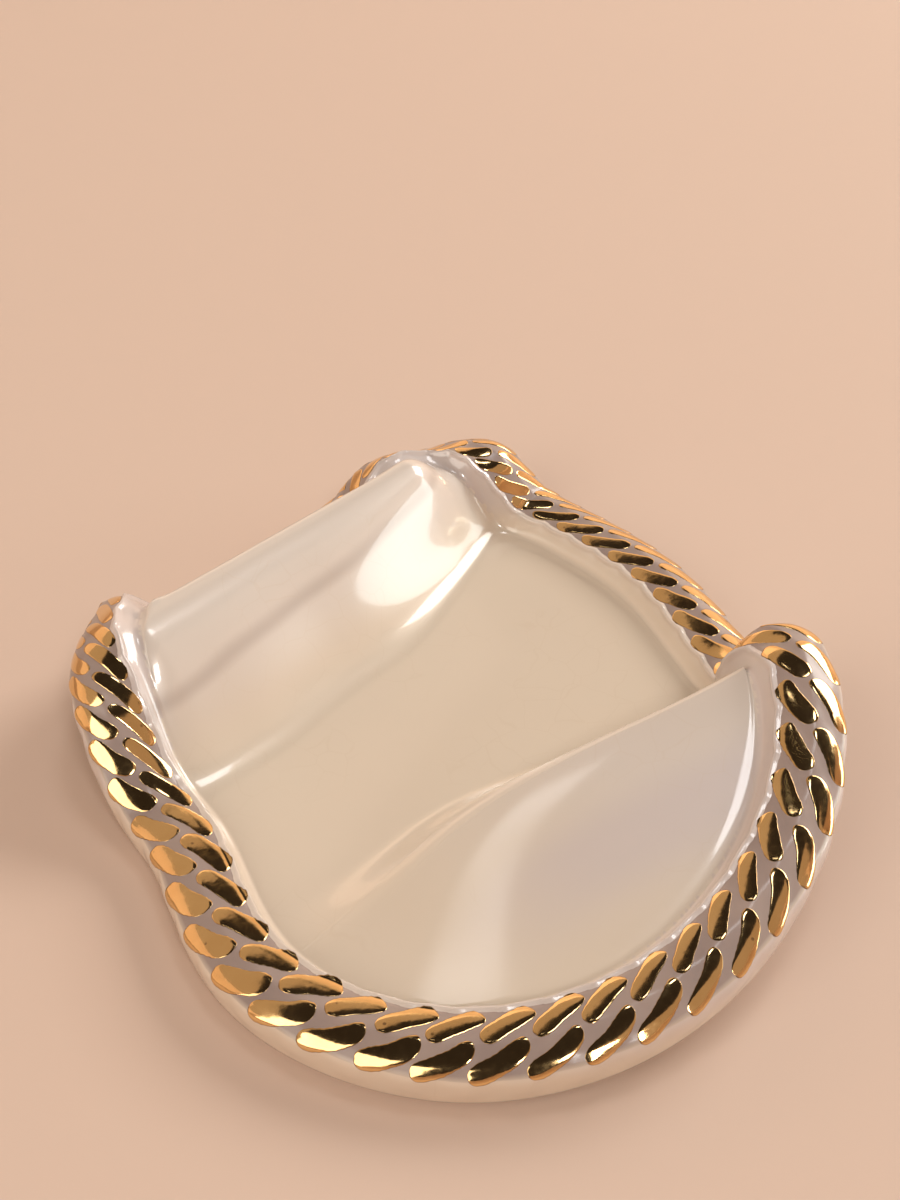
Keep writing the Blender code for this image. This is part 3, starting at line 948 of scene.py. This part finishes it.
@dataclass
class GlazedBody:
    """The draped body in one skin: dish face, skirt, relief, outer wall and underside."""

    drape: Drape
    pattern: ChainPattern
    columns: int = 640
    blend_share: float = 0.94
    step_fade: float = 3.0 * MM
    skirt_fade: float = 1.6 * MM
    foot_fade: float = 1.0 * MM
    pool_unit: float = 2.0 * MM
    pool_off: float = 9.0
    rows: Shares = (
        -7.0, -6.4, *np.linspace(-5.9, 4.6, 22), 5.0, *np.linspace(5.35, 6.85, 6), 7.2, 7.6,
    )
    wall_rows: int = 9
    skirt_rows: int = 6

    def runs(self) -> Array:
        """Choose the runs across the section at which the skin has a line of points.

        Returns:
            The runs, from the wall's foot inwards.
        """
        low, high = self.pattern.section.ends
        rows = np.array(self.rows) * MM
        wall = np.linspace(low, rows[0], self.wall_rows, endpoint=False)
        skirt = np.linspace(rows[-1], high, self.skirt_rows + 1)[1:]
        return np.concatenate((wall, rows, skirt))

    def rim_points(self, runs: Array, lift: float | Array = 0.0) -> tuple[Array, Array]:
        """Place the points of the rim's skin.

        Args:
            runs: Runs across the section.
            lift: How far off the relief.

        Returns:
            The points by column and row, and each column's run along the rim.
        """
        angle = np.arange(self.columns) * math.tau / self.columns
        along = np.interp(angle, self.pattern.angle, self.pattern.run)[:, None]
        low, high = self.pattern.section.ends
        fade = 1.0 - ramp(runs, high - self.skirt_fade, self.skirt_fade)
        fade = fade * ramp(runs, low, self.foot_fade)
        height = self.pattern.relief(along, runs[None, :]) * fade[None, :] + lift
        points = self.pattern.section.place(angle[:, None], runs[None, :], height)
        points[..., 2] += self.settle(angle, runs)
        points[..., 2] = np.maximum(points[..., 2], 0.0)
        return points, along

    def settle(self, angle: Array, runs: Array) -> Array:
        """Let the skirt follow the dish's own shape where it passes the margin's inner edge.

        Args:
            angle: Angles round the rim, one a column.
            runs: Runs across the section, one a row.

        Returns:
            How much each point moves up or down, by column and row.
        """
        rim, table = self.pattern.section.rim, self.pattern.section.table
        across = np.interp(runs, table[:, 0], table[:, 1])
        beyond = (across < -rim.inner_width) & (runs > 0.0)
        inner = rim.place(angle, -rim.inner_width, 0.0)
        step = inner[:, 2] - self.drape.height(inner[:, 0], inner[:, 1])
        flat = rim.place(angle[:, None], across[None, :], 0.0)
        left = 1.0 - ramp(-across - rim.inner_width, 0.0, self.step_fade)
        follow = self.drape.height(flat[..., 0], flat[..., 1]) - flat[..., 2]
        return np.where(beyond[None, :], follow + step[:, None] * left[None, :], 0.0)

    def border(self, values: Array) -> Array:
        """Carry values from the dish's edge over its whole net.

        Args:
            values: Values round the edge.

        Returns:
            Values by column and row of the net.
        """
        side = self.columns // 4
        # The net's first corner lies five eighths of the way round, at 225 degrees.
        ring = np.roll(values, -(self.columns * 5 // 8), axis=0)
        step = np.arange(side + 1)
        u = (step / side)[:, None, None]
        v = (step / side)[None, :, None]
        front, back = ring[step][:, None], ring[-side - step][:, None]
        left, right = ring[-step][None, :], ring[side + step][None, :]
        corners = ring[::side]
        ruled = (1.0 - v) * front + v * back + (1.0 - u) * left + u * right
        near = (1.0 - u) * corners[0] + u * corners[1]
        far = (1.0 - u) * corners[3] + u * corners[2]
        return ruled - (1.0 - v) * near - v * far

    def dish_points(self, edge: Array) -> Array:
        """Place the points of the dish face.

        Args:
            edge: The points of its edge.

        Returns:
            The points by column and row.
        """
        side = self.columns // 4
        place = self.border(edge[:, :2])
        x, y = place[..., 0], place[..., 1]
        gap = (edge[:, 2] - self.drape.height(edge[:, 0], edge[:, 1]))[:, None]
        away = np.abs(2.0 * np.arange(side + 1) / side - 1.0)
        closeness = np.maximum(away[:, None], away[None, :])
        share = ramp(closeness, self.blend_share, 1.0 - self.blend_share)
        z = self.drape.height(x, y) + self.border(gap)[..., 0] * share
        return np.stack((x, y, np.maximum(z, self.drape.thickness)), axis=-1)

    def sunk(self, points: Array) -> Array:
        """Sink points by the slab's thickness, no lower than the table."""
        under = points - np.array((0.0, 0.0, self.drape.thickness))
        return np.maximum(under, np.array((-np.inf, -np.inf, 0.0)))

    def build(self, material: Material) -> Object:
        """Build the body.

        Args:
            material: The pearl glaze.

        Returns:
            The finished piece.
        """
        clay = Clay("glazed_body")
        points, _ = self.rim_points(self.runs())
        edge = points[:, -1]
        dish = self.dish_points(edge)
        ring = np.concatenate((self.sunk(edge)[:, None], points), axis=1)
        pool = self.drape.toe_distance(dish[..., 0], dish[..., 1]) / self.pool_unit
        clay.lay(dish, {Layer.POOL: pool})
        clay.lay(self.sunk(dish), {Layer.POOL: np.full(pool.shape, self.pool_off)})
        clay.lay(ring, {Layer.POOL: np.full(ring.shape[:2], self.pool_off)}, wrap=True)
        return clay.fire(material, "pearl_glaze", "tray_slab")


@dataclass
class LilacGround:
    """The lilac glaze between the lozenges: a thin layer over the crown, from the bead to the wall."""

    body: GlazedBody
    film: float = 0.05 * MM
    depth: float = 0.5 * MM
    outer_run: float = -6.1 * MM
    outer_spare: float = 1.2 * MM
    outer_fade: float = 0.8 * MM
    inner_run: float = 7.0 * MM
    bead_gap: float = 0.5 * MM
    pale_fade: float = 1.3 * MM

    def build(self, material: Material) -> Object:
        """Build the layer.

        Args:
            material: The lilac glaze.

        Returns:
            The finished piece.
        """
        clay = Clay("lilac_ground")
        runs = self.body.runs()
        runs = runs[(runs > self.outer_run - self.outer_spare) & (runs < self.inner_run)]
        under, along = self.body.rim_points(runs, -self.depth)
        inside = ramp(self.body.pattern.bead_line(along) - runs[None, :], self.bead_gap, self.bead_gap)
        outside = ramp(runs[None, :] - self.outer_run, 0.0, self.outer_fade)
        top, _ = self.body.rim_points(runs, self.film * (2.0 * np.minimum(inside, outside) - 1.0))
        pale = np.broadcast_to(1.0 - ramp(runs, self.outer_run, self.pale_fade), top.shape[:2])
        ring = np.concatenate((top, under[:, ::-1], top[:, :1]), axis=1)
        pale = np.concatenate((pale, pale[:, ::-1], pale[:, :1]), axis=1)
        clay.lay(ring, {Layer.PALE: pale}, wrap=True)
        return clay.fire(material, "lilac_glaze", "rim_strip_front", "rim_strip_back")


@dataclass
class Gilding:
    """The gilded lozenges, two to a link, as thin domed caps on the relief's mounds."""

    pattern: ChainPattern
    length_steps: int = 26
    side_steps: int = 16
    dome: float = 0.05 * MM
    rise: float = 0.14 * MM
    rise_power: float = 0.3
    sunk: float = 0.03 * MM
    depth: float = 0.35 * MM
    end_power: float = 5.0
    side_edge: float = 6.0
    end_edge: float = 10.0
    shear: float = 0.15
    fray: float = 0.05
    fray_waves: Span = (9.0, 17.0)
    fray_shifts: Span = (6.0, 5.0)
    width_play: float = 0.05
    length_play: float = 0.04

    def cap(self, link: int, row: Row) -> tuple[Array, Array, Array]:
        """Place the points of one lozenge.

        Args:
            link: Which link.
            row: Which of its two lozenges.

        Returns:
            The upper points, the lower points, and how deep inside the outline each lies.
        """
        pattern, hand = self.pattern, self.pattern.touch(link, row)
        u = np.sin(np.linspace(-0.5, 0.5, self.length_steps + 1) * math.pi)[:, None]
        v = np.sin(np.linspace(-0.5, 0.5, self.side_steps + 1) * math.pi)[None, :]
        wide = np.sqrt(1.0 - np.abs(u) ** self.end_power)
        slow, quick = (
            np.sin(waves * u + shift * play)
            for waves, shift, play in zip(self.fray_waves, self.fray_shifts, hand[2:4])
        )
        half = pattern.half_widths[link] * (1.0 + self.width_play * hand[4])
        side = v * half * wide * (1.0 + self.fray * slow * quick)
        length = u * pattern.half_length * (1.0 + self.length_play * hand[3])
        along, across = pattern.to_rim(link, row, length + self.shear * side * row.value, side)
        depth = (1.0 - np.abs(v) ** self.side_edge) * (1.0 - np.abs(u) ** self.end_edge)
        crest = (1.0 - v * v) * (1.0 - u * u)
        angle = pattern.angle_at(along)
        ground = pattern.relief(along, across) - self.sunk
        lift = self.rise * depth**self.rise_power + self.dome * crest
        top = pattern.section.place(angle, across, ground + lift)
        under = pattern.section.place(angle, across, ground - self.depth * np.sqrt(depth))
        return top, under, depth

    def build(self, material: Material) -> list[Object]:
        """Build every pair of lozenges.

        Args:
            material: The gold lustre.

        Returns:
            The finished pieces.
        """
        pieces = []
        for link in range(self.pattern.count):
            clay = Clay(f"gilded_pair_{link + 1:02d}")
            for row in Row:
                top, under, depth = self.cap(link, row)
                clay.lay(top, {Layer.SHINE: depth})
                clay.lay(under, {Layer.SHINE: depth})
            pieces.append(clay.fire(material, "gold_lustre", f"chain_link_{link + 1:02d}"))
        return pieces


@dataclass(frozen=True)
class Lamp:
    """One soft lamp that points at the tray."""

    name: str
    place: Place
    power: float
    size: Span
    colour: Colour
    aim: Place = (0.0, 0.0, 0.01)
    roll: float = 0.0

    def hang(self) -> None:
        """Hang the lamp."""
        light = bpy.data.lights.new(self.name, "AREA")
        light.shape = "RECTANGLE"
        light.size, light.size_y = self.size
        light.energy = self.power
        light.color = self.colour
        lamp = bpy.data.objects.new(self.name, light)
        lamp.location = self.place
        turn = (Vector(self.aim) - Vector(self.place)).to_track_quat("-Z", "Y")
        lamp.rotation_euler = (turn @ Quaternion((0.0, 0.0, 1.0), math.radians(self.roll))).to_euler()
        lamp.visible_camera = False
        bpy.context.scene.collection.objects.link(lamp)


@dataclass(frozen=True)
class Studio:
    """A pale seamless cove, soft lamps, a dim room and the camera."""

    floor_colour: Colour = (0.665, 0.505, 0.41)
    room_colour: Colour = (0.030, 0.024, 0.021)
    floor_radius: float = 1.5
    floor_gap: float = 0.2 * MM
    cove_radius: float = 0.6
    cove_steps: int = 12
    wall_height: float = 0.9
    turn_steps: int = 96
    lamps: tuple[Lamp, ...] = (
        Lamp("main_right", (1.80, -0.16, 1.08), 28.0, (1.2, 0.9), (1.0, 0.97, 0.92)),
        Lamp("high_right", (0.56, 0.05, 2.02), 4.6, (0.45, 0.45), (0.96, 0.98, 1.0)),
        Lamp(
            "high_back", (0.332, 0.739, 1.811), 0.075, (0.12, 0.05), (1.0, 0.99, 0.97),
            aim=(-0.03, -0.04, 0.0), roll=130.0,
        ),
        Lamp("left", (-1.47, -0.02, 1.07), 12.5, (1.1, 1.35), (1.0, 0.95, 0.86)),
        Lamp("front", (-0.53, -1.26, 1.46), 6.9, (0.3, 0.3), (1.0, 0.97, 0.93)),
        Lamp("low_right", (1.24, -0.97, 0.31), 6.2, (0.85, 0.55), (0.88, 1.0, 1.0)),
        Lamp("back_card", (-0.286, 1.066, 0.862), 5.6, (2.8, 1.3), (1.0, 0.76, 0.56)),
        Lamp("far_card", (1.30, 1.10, 0.62), 4.4, (2.2, 1.2), (1.0, 0.78, 0.56)),
        Lamp("right_card", (0.26, -0.97, 1.115), 1.3, (1.4, 0.7), (1.0, 0.72, 0.52)),
    )
    eye: Place = (-0.1480, -0.1497, 0.2121)
    look: Place = (0.5417, 0.5417, -0.6428)
    lens: float = 48.0
    sensor: float = 36.0
    near_clip: float = 0.01

    def lay_floor(self) -> Object:
        """Lay the floor and the cove that rises round it.

        Returns:
            The floor, which isn't part of the tray.
        """
        line = []
        for step in range(self.cove_steps + 1):
            bend = step / self.cove_steps * math.pi / 2.0
            height = self.cove_radius * (1.0 - math.cos(bend)) - self.floor_gap
            line.append((self.floor_radius + self.cove_radius * math.sin(bend), 0.0, height))
        line.append((self.floor_radius + self.cove_radius, 0.0, self.cove_radius + self.wall_height))
        mesh = bmesh.new()
        last = mesh.verts.new((0.0, 0.0, -self.floor_gap))
        for place in line:
            last = bmesh.ops.extrude_vert_indiv(mesh, verts=[last])["verts"][0]
            last.co = place
        bmesh.ops.spin(
            mesh, geom=mesh.verts[:] + mesh.edges[:], cent=(0.0, 0.0, 0.0), axis=(0.0, 0.0, 1.0),
            angle=math.tau, steps=self.turn_steps, use_merge=True, use_duplicate=False,
        )
        looks = {"Roughness": 0.75, "Specular_IOR_Level": 0.2}
        floor = set_down("floor", mesh, start_material("plain_paper", self.floor_colour, **looks)[0])
        return floor

    def light_room(self) -> None:
        """Hang the lamps and give the room its dim light."""
        for lamp in self.lamps:
            lamp.hang()
        world = bpy.data.worlds.new("room")
        world.use_nodes = True
        back = world.node_tree.nodes["Background"]
        NodeSketch(world.node_tree).feed(back, Color=self.room_colour, Strength=1.0)
        bpy.context.scene.world = world

    def set_camera(self) -> None:
        """Set the camera where the tray is seen from above its near left corner."""
        data = bpy.data.cameras.new("camera")
        data.lens = self.lens
        data.sensor_width = self.sensor
        data.clip_start = self.near_clip
        camera = bpy.data.objects.new("camera", data)
        camera.location = self.eye
        camera.rotation_euler = Vector(self.look).to_track_quat("-Z", "Y").to_euler()
        bpy.context.scene.collection.objects.link(camera)
        bpy.context.scene.camera = camera

    def build(self) -> None:
        """Set up the whole studio."""
        self.lay_floor()
        self.light_room()
        self.set_camera()
        bpy.context.scene.view_settings.view_transform = "Standard"
        LOG.info("studio: %d lamps", len(self.lamps))


def main() -> None:
    """Build the tray and its studio."""
    logging.basicConfig(level=logging.INFO)
    workshop = Workshop()
    drape = Drape()
    pattern = ChainPattern(Section(RimLine(drape)))
    body = GlazedBody(drape, pattern)
    body.build(PearlGlaze().make(workshop))
    LilacGround(body).build(LilacGlaze().make(workshop))
    Gilding(pattern).build(GoldLustre().make(workshop))
    Studio().build()


if __name__ == "__main__":
    main()
